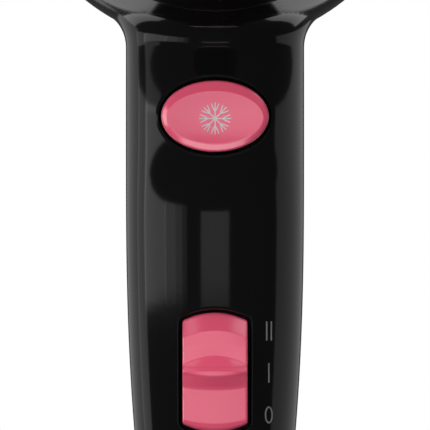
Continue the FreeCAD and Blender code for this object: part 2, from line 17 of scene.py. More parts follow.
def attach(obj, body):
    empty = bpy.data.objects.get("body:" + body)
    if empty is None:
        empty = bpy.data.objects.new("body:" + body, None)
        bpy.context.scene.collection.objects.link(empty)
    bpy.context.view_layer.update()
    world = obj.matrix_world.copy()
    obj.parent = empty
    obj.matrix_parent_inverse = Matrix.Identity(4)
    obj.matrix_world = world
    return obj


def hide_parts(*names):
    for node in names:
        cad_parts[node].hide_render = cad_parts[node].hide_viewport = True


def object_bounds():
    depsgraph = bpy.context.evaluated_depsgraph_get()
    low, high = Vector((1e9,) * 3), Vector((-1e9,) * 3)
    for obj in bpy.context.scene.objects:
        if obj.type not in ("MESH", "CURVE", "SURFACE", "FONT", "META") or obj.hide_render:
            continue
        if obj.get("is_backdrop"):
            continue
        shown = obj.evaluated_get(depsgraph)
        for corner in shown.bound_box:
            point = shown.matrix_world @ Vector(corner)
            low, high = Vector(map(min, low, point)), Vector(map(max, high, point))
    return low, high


MM = 0.001
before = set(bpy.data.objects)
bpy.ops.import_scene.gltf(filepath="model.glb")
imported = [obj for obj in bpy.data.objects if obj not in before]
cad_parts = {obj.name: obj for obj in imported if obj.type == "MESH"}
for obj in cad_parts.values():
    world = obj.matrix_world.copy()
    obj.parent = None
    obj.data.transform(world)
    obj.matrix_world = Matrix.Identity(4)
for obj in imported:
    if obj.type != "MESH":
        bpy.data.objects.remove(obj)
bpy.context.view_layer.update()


def corners(box):
    return [[float(v) for v in corner] for corner in box]


# ---- the dryer's main sizes, mm, as in the CAD ------------------------------------------------------------
WALL = 2.2
COLLAR_R, COLLAR_LENGTH, SEAT_R = 27.5, 9.0, 27.2
RING_END, RING_R = 21.0, 32.6
SEAM_FRONT, SEAM_R = 62.0, 37.7
PARTING = 92.0
SEAM_REAR, REAR_R = 146.0, 42.5
INLET_FACE = 168.0
HALF_WIDTH, FRONT, REAR, FOOT = 19.0, 70.5, 113.0, -150.0
ROUNDNESS, FLARE_R = 2.35, 7.2
HUMP_Z, HUMP_HALF, HUMP_HEIGHT = -60.0, 21.0, 3.4
BUTTON_Z, BUTTON_A, BUTTON_B, BUTTON_FACE, BUTTON_GAP = -59.9, 11.45, 7.6, 65.9, 0.35
ROCKER_Z, ROCKER_A, ROCKER_B, ROCKER_DROP, ROCKER_GAP = -114.1, 6.95, 12.7, 1.4, 0.8
SCREWS = [(0.0, -79.0), (9.0, -133.5), (-9.0, -133.5)]
BARREL = [(62, 37.7), (70, 40.6), (78, 43.0), (86, 44.2), (98, 44.5), (115, 44.4), (132, 43.6), (146, 42.5)]


# ---- the skin as a formula --------------------------------------------------------------------------------
def spline(points):
    """Natural-ended cubic spline through the points, as a function giving value and slope."""
    x, y = np.array(points, float).T
    n = len(x)
    h = np.diff(x)
    a = np.zeros((n, n))
    b = np.zeros(n)
    a[0, 0] = a[-1, -1] = 1.0
    for i in range(1, n - 1):
        a[i, i - 1 : i + 2] = h[i - 1], 2 * (h[i - 1] + h[i]), h[i]
        b[i] = 6 * ((y[i + 1] - y[i]) / h[i] - (y[i] - y[i - 1]) / h[i - 1])
    m = np.linalg.solve(a, b)

    def at(q):
        q = np.asarray(q, float)
        c = np.clip(q, x[0], x[-1])
        i = np.clip(np.searchsorted(x, c) - 1, 0, n - 2)
        t, u, k = x[i + 1] - c, c - x[i], h[i]
        value = (m[i] * t**3 + m[i + 1] * u**3) / (6 * k)
        value += (y[i] / k - m[i] * k / 6) * t + (y[i + 1] / k - m[i + 1] * k / 6) * u
        slope = (-m[i] * t**2 + m[i + 1] * u**2) / (2 * k) + (y[i + 1] - y[i]) / k - k / 6 * (m[i + 1] - m[i])
        return value + slope * (q - c), slope

    return at


barrel_line = spline(BARREL)


def handle_lines(z):
    """Half width, front and rear of the handle at height z."""
    taper = 0.3 * (np.maximum(0.0, -72.0 - z) / 26.8) ** 2.5
    away = np.clip(np.abs(z - HUMP_Z) / HUMP_HALF, 0, 1)
    front = FRONT - HUMP_HEIGHT * np.cos(np.pi / 2 * away) ** 2 + 0.9 * taper
    return HALF_WIDTH - taper, front, REAR - 1.3 * taper


def skin_field(p):
    """Roughly the distance outside the skin, mm: barrel, handle, and a ball rolled between them."""
    x, y, z = p[..., 0], p[..., 1], p[..., 2]
    radius, slope = barrel_line(y)
    barrel = (np.sqrt(x * x + z * z + 1e-12) - radius) / np.sqrt(1 + slope**2)
    a, front, rear = handle_lines(z)
    middle, b = (front + rear) / 2, (rear - front) / 2
    u, v = np.abs(x) / a + 1e-9, np.abs(y - middle) / b + 1e-9
    power = u**ROUNDNESS + v**ROUNDNESS
    g = power ** (1 / ROUNDNESS)
    steep = power ** (1 / ROUNDNESS - 1)
    gx, gy = steep * u ** (ROUNDNESS - 1) / a, steep * v ** (ROUNDNESS - 1) / b
    handle = (g - 1) / np.sqrt(gx * gx + gy * gy + 1e-12)
    handle = np.maximum(handle, z + 20.0)
    lean = np.abs(x) * gx / np.sqrt(x * x + z * z + 1e-12) - slope * np.sign(y - middle) * gy
    lean = np.clip(lean / np.sqrt((gx * gx + gy * gy + 1e-12) * (1 + slope**2)), -0.9, 0.95)
    to_barrel, to_handle = FLARE_R - barrel, FLARE_R - handle
    square = to_barrel**2 + to_handle**2 - 2 * lean * to_barrel * to_handle
    ball = FLARE_R - np.sqrt(np.maximum(square, 0) / (1 - lean**2))
    between = (to_barrel > lean * to_handle) & (to_handle > lean * to_barrel)
    return np.where(between, ball, np.minimum(barrel, handle))


def gradient(p, step=0.01):
    g = np.empty_like(p)
    for k in range(3):
        d = np.zeros(3)
        d[k] = step
        g[:, k] = (skin_field(p + d) - skin_field(p - d)) / (2 * step)
    return g


def onto_skin(p, free=(1, 1, 1), rounds=6):
    """Moves points onto the skin, along the free axes only."""
    free = np.array(free, float)
    for _ in range(rounds):
        g = gradient(p) * free
        p = p - g * (skin_field(p) / np.maximum((g * g).sum(1), 1e-6))[:, None]
    return p


def unit(v):
    return v / np.maximum(np.linalg.norm(v, axis=1, keepdims=True), 1e-12)


def surface_net(field, low, high, cell):
    """Quads of the field's zero surface on a regular grid, with its sign crossings averaged in each cell."""
    axes = [np.arange(l, h + cell, cell) for l, h in zip(low, high)]
    grid = np.stack(np.meshgrid(*axes, indexing="ij"), -1)
    value = field(grid)
    inside = value < 0
    total = np.zeros([n - 1 for n in value.shape] + [3])
    count = np.zeros([n - 1 for n in value.shape])
    for axis in range(3):
        lo = [slice(None)] * 3
        hi = [slice(None)] * 3
        lo[axis], hi[axis] = slice(0, -1), slice(1, None)
        v0, v1 = value[tuple(lo)], value[tuple(hi)]
        cross = (v0 < 0) != (v1 < 0)
        t = np.where(cross, v0 / np.where(cross, v0 - v1, 1), 0)
        point = grid[tuple(lo)] + t[..., None] * (grid[tuple(hi)] - grid[tuple(lo)])
        others = [k for k in range(3) if k != axis]
        for i in (0, 1):
            for j in (0, 1):
                part = [slice(None)] * 3
                part[others[0]] = slice(i, value.shape[others[0]] - 1 + i)
                part[others[1]] = slice(j, value.shape[others[1]] - 1 + j)
                total += np.where(cross[tuple(part)][..., None], point[tuple(part)], 0)
                count += cross[tuple(part)]
    used = count > 0
    index = np.full(count.shape, -1)
    index[used] = np.arange(used.sum())
    verts = total[used] / count[used][:, None]
    quads = []
    for axis in range(3):
        lo = [slice(1, -1)] * 3
        hi = [slice(1, -1)] * 3
        lo[axis], hi[axis] = slice(0, -1), slice(1, None)
        a, b = inside[tuple(lo)], inside[tuple(hi)]
        o1, o2 = (axis + 1) % 3, (axis + 2) % 3

        def cell_at(i, j):
            part = [slice(None)] * 3
            part[o1] = slice(0, -1) if i else slice(1, None)
            part[o2] = slice(0, -1) if j else slice(1, None)
            return index[tuple(part)]

        ring = [cell_at(1, 1), cell_at(0, 1), cell_at(0, 0), cell_at(1, 0)]
        for mask, order in ((a & ~b, 1), (~a & b, -1)):
            quads.append(np.stack([r[mask] for r in ring[::order]], 1))
    return verts, np.concatenate(quads)


# ---- meshes -----------------------------------------------------------------------------------------------
def piece(name, verts, faces, normals=None, smooth=35.0, scale=MM):
    """A mesh object from points in mm. Normals, one per face corner, are used as given."""
    mesh = bpy.data.meshes.new(name)
    mesh.from_pydata((np.asarray(verts) * scale).tolist(), [], [list(map(int, f)) for f in faces])
    mesh.shade_smooth()
    if normals is None:
        mesh.set_sharp_from_angle(angle=math.radians(smooth))
    else:
        mesh.normals_split_custom_set(np.asarray(normals, float).tolist())
    obj = bpy.data.objects.new(name, mesh)
    bpy.context.scene.collection.objects.link(obj)
    return obj


def wear(obj, material, body, slot, *nodes):
    """Gives a finished piece its material, its CAD body and the CAD nodes it stands for. The slot argument is
    not used.
    """
    obj.data.materials.clear()
    obj.data.materials.append(material)
    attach(obj, body)
    if nodes:
        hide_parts(*nodes)
    return obj


def convex_outline(points, grow, turns=144):
    """The convex outline of some (x, z) points pushed outwards by grow, and its normals."""
    angle = np.arange(turns) * 2 * np.pi / turns
    normal = np.stack([np.cos(angle), np.sin(angle)], 1)
    return points[np.argmax(normal @ points.T, 1)] + grow * normal, normal


def fine_outline(points, grow, turns, spacing=0.3):
    """The same outline with its straight sides cut into short steps."""
    outline, normal = convex_outline(points, grow, turns)
    core = outline - grow * normal
    steps = np.ceil(np.linalg.norm(np.roll(core, -1, 0) - core, axis=1) / spacing).astype(int)
    fine, facing = [], []
    for i, count in enumerate(np.maximum(steps, 1)):
        t = (np.arange(count) / count)[:, None]
        j = (i + 1) % turns
        facing.append(unit(normal[i] * (1 - t) + normal[j] * t))
        fine.append(core[i] * (1 - t) + core[j] * t + grow * facing[-1])
    return np.concatenate(fine), np.concatenate(facing)


def ellipse_points(a, b, count=720):
    t = np.arange(count) * 2 * np.pi / count
    return np.stack([a * np.cos(t), b * np.sin(t)], 1)


def rocker_points(corner):
    """The rocker's outline drawn in by its corner radius."""
    w, end = ROCKER_A - corner, ROCKER_B - corner
    x = np.linspace(-w, w, 121)
    bow = end - ROCKER_DROP * (x / w) ** 2
    return np.concatenate([np.stack([x, bow], 1), np.stack([x, -bow], 1)])


class Hole:
    """An opening cut straight back through the skin, with a rounded edge."""

    def __init__(self, points, grow, centre, edge, start, end, depth):
        self.edge, self.depth, self.centre = edge, depth, np.array(centre)
        self.outline, self.normal = convex_outline(points, grow + edge)
        self.outline = self.outline + self.centre
        self.start, self.end = start, end

    def prism(self):
        n = len(self.outline)
        near = np.insert(self.outline, 1, self.start, 1)
        far = np.insert(self.outline, 1, self.end, 1)
        ring = np.arange(n)
        sides = np.stack([ring, (ring + 1) % n, (ring + 1) % n + n, ring + n], 1)
        return np.concatenate([near, far]), sides.tolist() + [ring[::-1].tolist(), (ring + n).tolist()]

    def meets(self, p):
        """Which points lie on this outline, and the outline's outward normal there."""
        a, b = self.outline, np.roll(self.outline, -1, 0)
        q = p[:, None, [0, 2]]
        along = np.clip(((q - a) * (b - a)).sum(-1) / ((b - a) ** 2).sum(-1), 0, 1)
        gap = np.linalg.norm(q - a - along[..., None] * (b - a), axis=-1)
        best = gap.argmin(1)
        t = along[np.arange(len(p)), best][:, None]
        normal = self.normal[best] * (1 - t) + np.roll(self.normal, -1, 0)[best] * t
        hit = (gap.min(1) < 0.02) & (p[:, 1] > self.start) & (p[:, 1] < self.end)
        return hit, np.insert(normal, 1, 0.0, 1)


def bm_arrays(bm):
    bm.verts.ensure_lookup_table()
    verts = np.array([v.co[:] for v in bm.verts])
    return verts, [[v.index for v in f.verts] for f in bm.faces]


def carved_skin(holes):
    """The closed skin, less the prisms of its openings."""
    low, high = (-46.5, 56.5, -156.5), (46.5, 151.5, 46.5)

    def closed(p):
        ends = np.maximum(58 - p[..., 1], p[..., 1] - 150)
        return np.maximum(np.maximum(skin_field(p), ends), -154 - p[..., 2])

    verts, quads = surface_net(closed, low, high, 1.0)
    near = np.abs(skin_field(verts)) < 0.5
    verts[near] = onto_skin(verts[near])
    body = piece("skin_to_carve", verts, quads, scale=1.0)
    points, faces = [], []
    for hole in holes:
        p, f = hole.prism()
        faces += [[i + sum(map(len, points)) for i in face] for face in f]
        points.append(p)
    tool = piece("skin_tool", np.concatenate(points), faces, scale=1.0)
    for o in (body, tool):
        turn = bmesh.new()
        turn.from_mesh(o.data)
        bmesh.ops.recalc_face_normals(turn, faces=turn.faces)
        turn.to_mesh(o.data)
        turn.free()
    cut = body.modifiers.new("cut", "BOOLEAN")
    cut.operation, cut.solver, cut.object = "DIFFERENCE", "EXACT", tool
    bm = bmesh.new()
    bm.from_object(body, bpy.context.evaluated_depsgraph_get())
    for o in (body, tool):
        bpy.data.objects.remove(o)
    return bm


def shell(name, carved, planes, holes):
    """One moulded shell: the skin between planes, its edges rounded, its walls and its inside face.

    Each plane is (point, outward direction, edge radius).
    """
    bm = carved.copy()
    for point, outward, edge in planes:
        w = Vector(outward)
        at = Vector(point) - w * edge
        geom = bm.verts[:] + bm.edges[:] + bm.faces[:]
        bmesh.ops.bisect_plane(bm, geom=geom, dist=1e-4, plane_co=at, plane_no=w, clear_outer=True)
    centres = np.array([f.calc_center_median()[:] for f in bm.faces])
    off_skin = np.abs(skin_field(centres)) > 0.12
    bmesh.ops.delete(bm, geom=[f for f, off in zip(bm.faces[:], off_skin) if off], context="FACES")
    bmesh.ops.dissolve_degenerate(bm, dist=1e-4, edges=bm.edges[:])
    bm.verts.index_update()
    verts, faces = bm_arrays(bm)
    border = [e for e in bm.edges if e.is_boundary]
    rim = [(l.vert.index, l.link_loop_next.vert.index) for e in border for l in e.link_loops]
    bm.free()

    # Every point goes exactly onto the skin, and those on a cut stay on their cut.
    on_plane = [np.abs((verts - np.array(p)) @ np.array(w) + e) < 2e-3 for p, w, e in planes]
    on_hole = [h.meets(verts) for h in holes]
    free = np.ones_like(verts)
    for mask, (_, w, _) in zip(on_plane, planes):
        free[mask] *= 1 - np.abs(np.array(w))
    edge_points = np.zeros(len(verts), bool)
    edge_points[np.unique(np.array(rim))] = True
    for hit, _ in on_hole:
        free[hit & edge_points] = (0, 1, 0)
    for _ in range(5):
        g = gradient(verts) * free
        size = (g * g).sum(1)
        step = np.where(size > 0.02, skin_field(verts) / np.maximum(size, 0.02), 0)
        verts = verts - g * np.clip(step, -0.2, 0.2)[:, None]
    normal = unit(gradient(verts))

    # Edge rounding runs along a curve from the skin (start) by a shoulder to the wall (drop).
    shoulder = np.zeros_like(verts)
    facing = np.zeros_like(verts)
    drop = np.zeros_like(verts)
    depth = np.full(len(verts), WALL)
    for mask, (_, w, edge) in zip(on_plane, planes):
        w = np.array(w, float)
        lean = normal @ w
        along = (w - lean[:, None] * normal) * (edge / np.maximum(1 - lean**2, 0.05))[:, None]
        shoulder[mask] += along[mask]
        facing[mask] += w
        inward = -unit(normal - lean[:, None] * w)
        drop[mask] = inward[mask] * edge
    for hole, (hit, outward) in zip(holes, on_hole):
        hit = hit & edge_points
        w = -outward
        lean = (normal * w).sum(1)
        along = (w - lean[:, None] * normal) * (hole.edge / np.maximum(1 - lean**2, 0.05))[:, None]
        shoulder[hit] = along[hit]
        facing[hit] = w[hit]
        side = 1.0 if hole.start < PARTING else -1.0
        drop[hit] = (0, side * hole.edge, 0)
        depth[hit] = hole.depth
    levels, directions = [verts], [normal]
    for k in range(1, 6):
        t = k / 5
        point = verts + shoulder * (2 * t * (1 - t) + t * t) + drop * t * t
        forward = shoulder * (1 - t) + drop * t
        across = np.cross(shoulder, drop)
        n = unit(np.cross(across, forward))
        n *= np.sign((n * (normal * (1 - t) + facing * t)).sum(1))[:, None]
        levels.append(point)
        directions.append(n)
    levels.append(levels[-1] + unit(drop) * depth[:, None])
    facing = unit(facing)

    ids = np.unique(np.array(rim))
    place = np.full(len(verts), -1)
    place[ids] = np.arange(len(ids))
    out = [verts] + [level[ids] for level in levels[1:]] + [verts - normal * WALL]
    first = np.cumsum([0] + [len(o) for o in out])
    polys = list(faces)
    corner = [normal[np.array(f)] for f in faces]

    def index(level, v):
        return v if level == 0 else first[level] + place[v]

    last = len(levels) - 1
    for a, b in rim:
        for k in range(last):
            polys.append([index(k, b), index(k, a), index(k + 1, a), index(k + 1, b)])
            if k == last - 1:
                corner.append(facing[[b, a, a, b]])
            else:
                here, below = directions[k], directions[k + 1]
                corner.append(np.array([here[b], here[a], below[a], below[b]]))
    inside = first[len(levels)]
    for f in faces:
        polys.append([inside + v for v in reversed(f)])
        corner.append(-normal[np.array(f[::-1])])
    return piece(name, np.concatenate(out), polys, np.concatenate(corner))


def lathe(name, profile, turns=192, closed=True, smooth=32.0):
    """A turned piece about the barrel's axis from (y, radius) points."""
    profile = np.array(profile, float)
    t = np.arange(turns) * 2 * np.pi / turns
    x = profile[:, 1, None] * np.sin(t)
    z = profile[:, 1, None] * np.cos(t)
    y = np.broadcast_to(profile[:, 0, None], x.shape)
    verts = np.stack([x, y, z], -1).reshape(-1, 3)
    n, faces = len(profile), []
    for i in range(n if closed else n - 1):
        for j in range(turns):
            k = (j + 1) % turns
            a, b = i * turns, (i + 1) % n * turns
            faces.append([a + j, a + k, b + k, b + j])
    return piece(name, verts, faces, smooth=smooth)


def rounded(corners_, radii, steps=5):
    """A closed profile with its corners rounded to the given radii."""
    pts = np.array(corners_, float)
    out = []
    for i, radius in enumerate(radii):
        before, at, after = pts[i - 1], pts[i], pts[(i + 1) % len(pts)]
        if radius <= 0:
            out.append(at)
            continue
        u, v = before - at, after - at
        lu, lv = np.linalg.norm(u), np.linalg.norm(v)
        u, v = u / lu, v / lv
        half = math.acos(float(np.clip(u @ v, -1, 1))) / 2
        reach = min(radius / math.tan(half), 0.48 * lu, 0.48 * lv)
        for k in range(steps + 1):
            s = k / steps
            out.append(at + u * reach * (1 - s) ** 2 + v * reach * s**2)
    return np.array(out)


def curve_points(points, count):
    """Evenly spaced points on the smooth curve through (y, radius) points."""
    at = spline(points)
    y = np.linspace(points[0][0], points[-1][0], count)
    return np.stack([y, at(y)[0]], 1)


def joined(name, objects):
    """Several mesh objects made into one."""
    bm = bmesh.new()
    for o in objects:
        part = o.data.copy()
        part.transform(o.matrix_world)
        bm.from_mesh(part)
    mesh = bpy.data.meshes.new(name)
    bm.to_mesh(mesh)
    bm.free()
    for o in objects:
        bpy.data.objects.remove(o)
    obj = bpy.data.objects.new(name, mesh)
    bpy.context.scene.collection.objects.link(obj)
    return obj


def tube_along(name, points, radius, sides=8):
    """A closed-ended round tube through points."""
    p = np.array(points, float)
    tangent = unit(np.gradient(p, axis=0))
    ref = np.array([0.0, 0, 1]) if abs(tangent[0, 2]) < 0.9 else np.array([1.0, 0, 0])
    u = np.cross(tangent[0], ref)
    frames = []
    for t in tangent:
        u = u - t * (u @ t)
        u = u / np.linalg.norm(u)
        frames.append((u.copy(), np.cross(t, u)))
    a = np.arange(sides) * 2 * np.pi / sides
    cos, sin = np.cos(a)[:, None], np.sin(a)[:, None]
    verts = np.concatenate([q + radius * (cos * e + sin * f) for q, (e, f) in zip(p, frames)])
    faces = []
    for i in range(len(p) - 1):
        for j in range(sides):
            k = (j + 1) % sides
            faces.append([i * sides + j, i * sides + k, (i + 1) * sides + k, (i + 1) * sides + j])
    faces.append(list(range(sides))[::-1])
    faces.append([(len(p) - 1) * sides + j for j in range(sides)])
    return piece(name, verts, faces, smooth=50.0)


def softened(obj, width=0.15, segments=2, angle=35.0, weld=True):
    """Small round edges on a piece, by modifiers alone."""
    if weld:
        w = obj.modifiers.new("weld", "WELD")
        w.merge_threshold = 2e-6
    b = obj.modifiers.new("edge", "BEVEL")
    b.width, b.segments, b.limit_method, b.angle_limit = width * MM, segments, "ANGLE", math.radians(angle)
    b.use_clamp_overlap = True
    b.harden_normals = False
    n = obj.modifiers.new("shade", "WEIGHTED_NORMAL")
    n.keep_sharp = True
    return obj


# ---- finishes ---------------------------------------------------------------------------------------------
def finish(name, colour, rough, metallic=0.0, blotch=45.0, vary=0.04, tint=0.08, grain=900.0, bump=0.02):
    """A moulded, drawn or rolled surface: uneven gloss and colour, and a fine grain in its normals."""
    mat = bpy.data.materials.new(name)
    mat.use_nodes = True
    tree = mat.node_tree
    link = tree.links.new
    shader = tree.nodes["Principled BSDF"]
    place = tree.nodes.new("ShaderNodeTexCoord")
    cloud = tree.nodes.new("ShaderNodeTexNoise")
    cloud.inputs["Scale"].default_value = blotch
    cloud.inputs["Detail"].default_value = 4.0
    link(place.outputs["Object"], cloud.inputs["Vector"])
    gloss = tree.nodes.new("ShaderNodeMapRange")
    gloss.inputs["From Min"].default_value, gloss.inputs["From Max"].default_value = 0.3, 0.7
    gloss.inputs["To Min"].default_value, gloss.inputs["To Max"].default_value = rough - vary, rough + vary
    link(cloud.outputs["Fac"], gloss.inputs["Value"])
    link(gloss.outputs["Result"], shader.inputs["Roughness"])
    mix = tree.nodes.new("ShaderNodeMix")
    mix.data_type = "RGBA"
    mix.inputs["A"].default_value = (*[c * (1 - tint) for c in colour], 1)
    mix.inputs["B"].default_value = (*[min(1.0, c * (1 + tint)) for c in colour], 1)
    link(cloud.outputs["Fac"], mix.inputs["Factor"])
    link(mix.outputs["Result"], shader.inputs["Base Color"])
    fine = tree.nodes.new("ShaderNodeTexNoise")
    fine.inputs["Scale"].default_value = grain
    fine.inputs["Detail"].default_value = 3.0
    link(place.outputs["Object"], fine.inputs["Vector"])
    relief = tree.nodes.new("ShaderNodeBump")
    relief.inputs["Strength"].default_value = bump
    relief.inputs["Distance"].default_value = 0.001
    link(fine.outputs["Fac"], relief.inputs["Height"])
    link(relief.outputs["Normal"], shader.inputs["Normal"])
    shader.inputs["Metallic"].default_value = metallic
    return mat


BLACK = finish("black_gloss", (0.0035, 0.0035, 0.0038), 0.11, vary=0.025, grain=420.0, bump=0.006)
PINK = finish("pink_gloss", (0.84, 0.105, 0.195), 0.2, vary=0.03, tint=0.03, grain=700.0, bump=0.01)
SATIN = finish("black_satin", (0.02, 0.02, 0.022), 0.42, vary=0.05, grain=1500.0, bump=0.05)
GREY = finish("inner_grey", (0.06, 0.06, 0.065), 0.5, vary=0.06, grain=1500.0, bump=0.06)
NYLON = finish("white_nylon", (0.62, 0.6, 0.53), 0.42, vary=0.05, tint=0.05, grain=1300.0, bump=0.05)
MICA = finish("mica", (0.42, 0.32, 0.2), 0.45, blotch=180.0, vary=0.12, tint=0.35, grain=2600.0, bump=0.12)
WIRE = finish(
    "resistance_wire", (0.33, 0.29, 0.26), 0.38, metallic=1.0, blotch=220.0, vary=0.1, tint=0.3, grain=3000.0
)
STEEL = finish(
    "steel", (0.56, 0.56, 0.57), 0.3, metallic=1.0, blotch=120.0, vary=0.08, grain=2200.0, bump=0.03
)
DARK_STEEL = finish(
    "blackened_steel", (0.02, 0.02, 0.022), 0.42, metallic=0.6, blotch=120.0, vary=0.08, grain=2200.0
)
MESH = finish(
    "screen_mesh", (0.24, 0.24, 0.25), 0.42, metallic=1.0, blotch=160.0, vary=0.08, grain=2200.0, bump=0.03
)
FERRITE = finish(
    "magnet", (0.05, 0.05, 0.055), 0.6, metallic=0.3, blotch=160.0, vary=0.1, grain=2400.0, bump=0.08
)
CORE = finish(
    "core", (0.17, 0.13, 0.1), 0.48, metallic=0.6, blotch=260.0, vary=0.1, tint=0.3, grain=2500.0, bump=0.08
)
COPPER = finish(
    "copper", (0.68, 0.32, 0.2), 0.32, metallic=1.0, blotch=200.0, vary=0.08, tint=0.18, grain=2200.0
)
BRONZE = finish(
    "sintered_bronze", (0.5, 0.34, 0.18), 0.5, metallic=1.0, blotch=300.0, vary=0.1, grain=3500.0, bump=0.12
)
CARBON = finish("carbon", (0.03, 0.03, 0.03), 0.55, blotch=200.0, vary=0.08, grain=3500.0, bump=0.12)
BOARD = finish(
    "circuit_board", (0.4, 0.25, 0.09), 0.4, blotch=110.0, vary=0.08, tint=0.14, grain=1800.0, bump=0.05
)
EPOXY = finish("component_black", (0.02, 0.02, 0.022), 0.4, vary=0.07, grain=2000.0, bump=0.06)
YELLOW = finish("component_yellow", (0.6, 0.42, 0.04), 0.36, vary=0.06, tint=0.08, grain=1800.0, bump=0.04)
SLEEVE = finish("lead_insulation", (0.5, 0.02, 0.015), 0.42, vary=0.06, tint=0.1, grain=1500.0, bump=0.05)
RUBBER = finish("soft_black", (0.018, 0.018, 0.018), 0.6, vary=0.06, grain=2200.0, bump=0.1)
PRINT = finish("grey_print", (0.2, 0.2, 0.21), 0.4, vary=0.05, tint=0.1, grain=2500.0, bump=0.03)
SILVER = finish(
    "silver_print", (0.86, 0.86, 0.88), 0.32, metallic=0.35, vary=0.05, tint=0.04, grain=2500.0, bump=0.02
)

# ---- housing shells ---------------------------------------------------------------------------------------
CORNER = 0.9
button_hole = Hole(ellipse_points(BUTTON_A, BUTTON_B), BUTTON_GAP, (0, BUTTON_Z), 0.95, 50, 82, 3.0)
rocker_hole = Hole(rocker_points(CORNER), CORNER + ROCKER_GAP - 0.25, (0, ROCKER_Z), 0.75, 50, 84, 3.5)
screw_holes = [Hole(ellipse_points(0.01, 0.01), 3.1, at, 0.35, 104, 125, 9.5) for at in SCREWS]
carved = carved_skin([button_hole, rocker_hole] + screw_holes)
GAP = 0.01
front_planes = [
    ((0, PARTING - GAP, 0), (0, 1, 0), 0.3),
    ((0, SEAM_FRONT + GAP, 0), (0, -1, 0), 0.35),
    ((0, 0, FOOT + GAP), (0, 0, -1), 0.3),
]
rear_planes = [
    ((0, PARTING + GAP, 0), (0, -1, 0), 0.3),
    ((0, SEAM_REAR, 0), (0, 1, 0), 0.35),
    ((0, 0, FOOT + GAP), (0, 0, -1), 0.3),
]
front_shell = shell("front_shell_skin", carved, front_planes, [button_hole, rocker_hole])
rear_shell = shell("rear_shell_skin", carved, rear_planes, screw_holes)
carved.free()
wear(front_shell, BLACK, "housing", "black_gloss", "front_shell")
wear(rear_shell, BLACK, "housing", "black_gloss", "rear_shell")

# ---- outlet: barrel, ring, collar -------------------------------------------------------------------------
FLARE_LINE = [(RING_END, RING_R - 0.2), (32, 32.9), (44, 34.0), (54, 35.6), (SEAM_FRONT, SEAM_R)]
outside = curve_points(FLARE_LINE, 60)
outside = outside[(outside[:, 0] > RING_END + 0.3) & (outside[:, 0] < SEAM_FRONT - 0.5)]
ring_end = [(RING_END + 0.05, SEAT_R), (RING_END + 0.05, RING_R - 0.2), (RING_END + 1, RING_R - 0.15)]
ring_end = rounded(ring_end, [0, 0.3, 0])
seam_end = [(SEAM_FRONT - 1.2, SEAM_R - 0.36), (SEAM_FRONT - GAP, SEAM_R), (SEAM_FRONT - GAP, SEAM_R - WALL)]
seam_end = rounded(seam_end, [0, 0.35, 0])[1:]
spigot = [(SEAM_FRONT + 6, SEAM_R - WALL - 0.1), (SEAM_FRONT + 6, 33.4), (SEAM_FRONT, 33.2), (44, 31.2)]
throat = [(RING_END + 2, 29.4), (RING_END + 2, 25.1)]
lip = rounded([(1, 25.1), (0, 25.1), (0, COLLAR_R), (1, COLLAR_R)], [0, 0.7, 0.7, 0])
collar = rounded([(3, COLLAR_R), (COLLAR_LENGTH, COLLAR_R), (COLLAR_LENGTH, SEAT_R)], [0, 0.1, 0])
profile = np.concatenate([ring_end[:-1], outside, seam_end, spigot, throat, lip, collar])
barrel_tube = lathe("front_barrel_tube", profile)
wear(barrel_tube, BLACK, "housing", "black_gloss", "front_barrel")

ring_profile = rounded(
    [
        (COLLAR_LENGTH, SEAT_R + 0.05),
        (COLLAR_LENGTH, RING_R - 2.2),
        (COLLAR_LENGTH + 2.2, RING_R - 0.3),
        (COLLAR_LENGTH + 5.0, RING_R),
        (RING_END - 0.05, RING_R),
        (RING_END - 0.05, SEAT_R + 0.05),
    ],
    [0, 1.1, 1.2, 1.0, 0.5, 0],
    9,
)
outlet_ring = wear(lathe("outlet_ring_gloss", ring_profile), PINK, "housing", "pink_gloss", "outlet_ring")


def radial_bar(name, half_width, near, far, inner, outer, turn, edge=0.3):
    """A straight rounded bar from the inner to the outer radius, turned about the barrel's axis."""
    bpy.ops.mesh.primitive_cube_add(size=1.0)
    o = bpy.context.object
    o.name = name
    o.data.transform(Matrix.Diagonal((2 * half_width * MM, (far - near) * MM, (outer - inner) * MM, 1)))
    o.data.transform(Matrix.Translation((0, (near + far) / 2 * MM, (inner + outer) / 2 * MM)))
    bm = bmesh.new()
    bm.from_mesh(o.data)
    long_edges = [e for e in bm.edges if abs((e.verts[0].co - e.verts[1].co).normalized().z) > 0.9]
    bmesh.ops.bevel(bm, geom=long_edges, offset=edge * MM, segments=3, affect="EDGES", profile=0.5)
    bm.to_mesh(o.data)
    bm.free()
    o.data.transform(Matrix.Rotation(math.radians(turn), 4, "Y"))
    o.data.shade_smooth()
    o.data.set_sharp_from_angle(angle=math.radians(40))
    return o


def grille(name, radii, width, near, far, spokes, spoke_width, hub, edge=0.4):
    """Rounded rings, a domed hub and spokes."""
    parts = []
    for i, r in enumerate(radii):
        box = [(near, r - width), (near, r), (far, r), (far, r - width)]
        parts.append(lathe(f"{name}_ring{i}", rounded(box, [edge] * 4), turns=128))
    cap = rounded([(near, 0.01), (near, hub), (far, hub), (far, 0.01)], [0, edge * 1.5, edge, 0])
    parts.append(lathe(f"{name}_hub", cap, turns=64))
    start, end = hub - 0.5, radii[0] - width / 2
    for i in range(spokes):
        turn = 360 * i / spokes
        parts.append(radial_bar(f"{name}_bar{i}", spoke_width / 2, near + 0.25, far - 0.2, start, end, turn))
    return joined(name, parts)


guard = grille("outlet_grille_bars", [25.05, 19.5, 13.9, 8.3], 1.2, 3.0, 5.0, 6, 1.2, 3.0)
wear(guard, SATIN, "housing", "black_satin", "outlet_grille")

